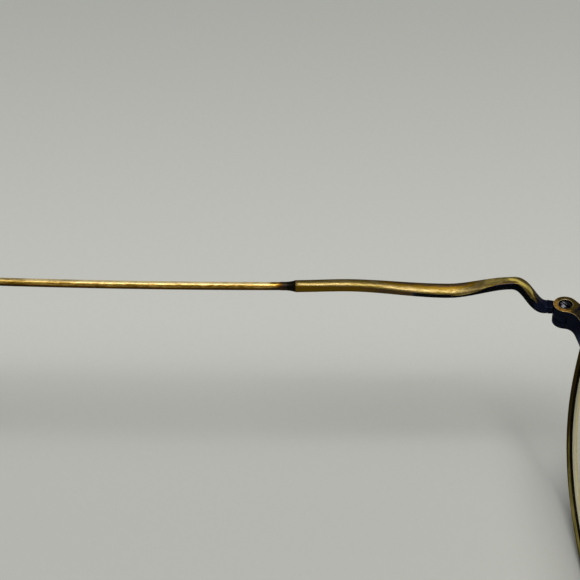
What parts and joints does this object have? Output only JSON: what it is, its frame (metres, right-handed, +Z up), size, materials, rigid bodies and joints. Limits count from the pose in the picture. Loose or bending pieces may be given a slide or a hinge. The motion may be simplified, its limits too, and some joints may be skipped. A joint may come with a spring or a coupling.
{
  "type": "eyeglass frame",
  "caption": "Slim metal eyeglass frame with grooved eyewires, screwed barrel hinges, humped cast temple bars that run into thin wires, rocking nose pads and drop tips.",
  "frame": {"origin": "middle of the bounding box at the height of its lowest points, which are the lower edges of both eyewires and the ends of both temple tips, with the temples open", "axes": "X runs across the face with +X to the wearer's left, +Y from the lenses back to the ears, +Z up"},
  "size_m": [0.1378, 0.1398, 0.0418],
  "materials": {
    "antique_gold": "brushed antique gold, worn over a dark patina",
    "dark_patina": "blue-black patina, satin",
    "screw_steel": "worn steel",
    "clear_lens": "polished, with a faint yellow-green tint",
    "soft_pad": "clear silicone, satin",
    "pad_core": "clear hard plastic",
    "dark_tortoise": "polished acetate, dark tortoise"
  },
  "bodies": {
    "front": {"rim_left": "antique_gold", "rim_right": "antique_gold", "lens_left": "clear_lens", "lens_right": "clear_lens", "bridge": "antique_gold", "endpiece_left": "antique_gold", "endpiece_right": "antique_gold", "closing_block_left": "dark_patina", "closing_block_right": "dark_patina", "closing_screw_left": "screw_steel", "closing_screw_right": "screw_steel", "hinge_screw_left": "screw_steel", "hinge_screw_right": "screw_steel", "pad_arm_left": "antique_gold", "pad_arm_right": "antique_gold", "pad_box_left": "dark_patina", "pad_box_right": "dark_patina", "pad_screw_left": "screw_steel", "pad_screw_right": "screw_steel"},
    "temple_left": {"temple_knuckle_left": "dark_patina", "temple_bar_left": "antique_gold", "temple_wire_left": "antique_gold", "temple_tip_left": "dark_tortoise"},
    "temple_right": {"temple_knuckle_right": "dark_patina", "temple_bar_right": "antique_gold", "temple_wire_right": "antique_gold", "temple_tip_right": "dark_tortoise"},
    "pad_left": {"pad_insert_left": "pad_core", "nose_pad_left": "soft_pad"},
    "pad_right": {"pad_insert_right": "pad_core", "nose_pad_right": "soft_pad"}
  },
  "joints": [
    {"name": "temple_hinge_left", "type": "hinge", "parent": "front", "child": "temple_left", "pos_m": [0.0642, -0.06119, 0.02514], "axis": [0, 0, 1], "range_deg": [0, 90]},
    {"name": "temple_hinge_right", "type": "hinge", "parent": "front", "child": "temple_right", "pos_m": [-0.0642, -0.06119, 0.02514], "axis": [0, 0, -1], "range_deg": [0, 82]},
    {"name": "pad_rock_left", "type": "hinge", "parent": "front", "child": "pad_left", "pos_m": [0.0117, -0.06129, 0.01814], "axis": [0.454, 0.891, 0], "range_deg": [-10, 10]},
    {"name": "pad_rock_right", "type": "hinge", "parent": "front", "child": "pad_right", "pos_m": [-0.0117, -0.06129, 0.01814], "axis": [0.454, -0.891, 0], "range_deg": [-10, 10]}
  ]
}
